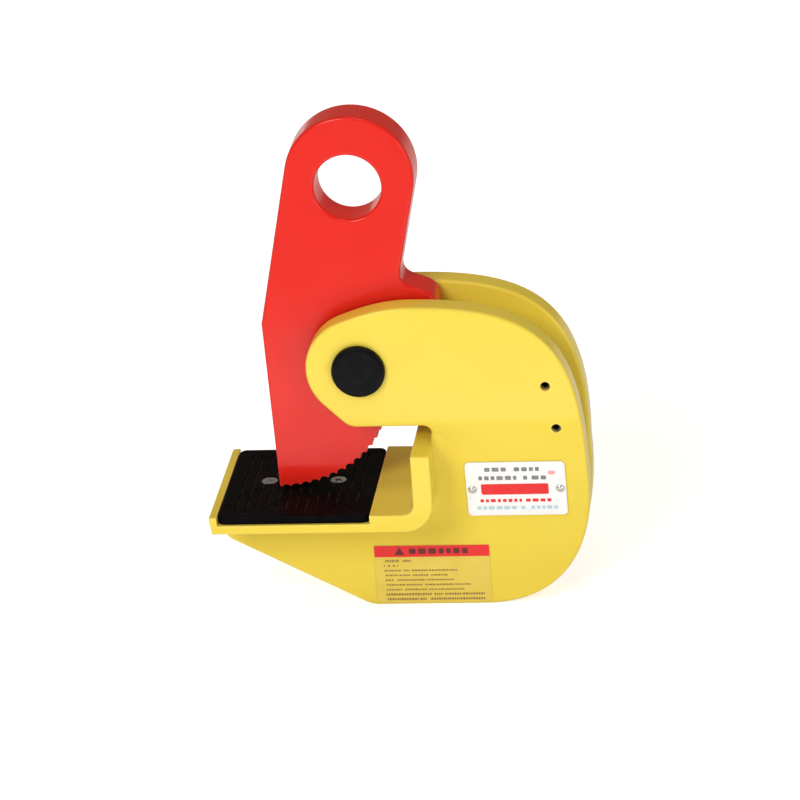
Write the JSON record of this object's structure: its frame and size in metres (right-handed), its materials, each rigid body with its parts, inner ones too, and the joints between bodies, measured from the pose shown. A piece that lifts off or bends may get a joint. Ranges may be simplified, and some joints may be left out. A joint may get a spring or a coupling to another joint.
{
  "type": "horizontal plate lifting clamp",
  "caption": "Plate lifting clamp: a C-shaped yellow body of two bent cheeks on an L-shaped jaw plate, with a red toothed cam lever ending in a lifting eye.",
  "frame": {"origin": "on the ground plane the bottom edge stands on, at the middle of the clamp's length and width", "axes": "+X into the jaw's throat, +Y to the rear cheek, +Z from the bottom edge up to the lifting eye"},
  "size_m": [0.2044, 0.092, 0.2823],
  "materials": {
    "yellow_paint": "glossy enamel over plate",
    "red_paint": "glossy enamel over a forged lever",
    "black_pad": "blackened hardened steel, slightly glossy",
    "black_oxide": "black oxide",
    "zinc": "zinc plated",
    "spring_steel": "oiled spring steel",
    "bronze": "turned bronze",
    "plate_white": "white printed aluminium",
    "decal_film": "printed film"
  },
  "bodies": {
    "body": {"base_plate": "yellow_paint", "front_cheek": "yellow_paint", "rear_cheek": "yellow_paint", "base_plate_weld_front": "yellow_paint", "base_plate_weld_rear": "yellow_paint", "jaw_pad": "black_pad", "pad_screw_left": "zinc", "pad_screw_right": "zinc", "pivot_pin": "black_oxide", "front_thrust_washer": "bronze", "rear_thrust_washer": "bronze", "pin_end_washer": "zinc", "pin_retaining_ring": "spring_steel", "spring_pin_upper": "spring_steel", "spring_pin_lower": "spring_steel", "nameplate": "plate_white", "nameplate_rivet_left": "zinc", "nameplate_rivet_right": "zinc", "safety_decal": "decal_film"},
    "lever": {"cam_lever": "red_paint", "lever_bush": "bronze"}
  },
  "joints": [
    {"name": "lever_swing", "type": "hinge", "parent": "body", "child": "lever", "pos_m": [-0.01717, 0, 0.1455], "axis": [0, 1, 0], "range_deg": [-2.5, 75]}
  ]
}
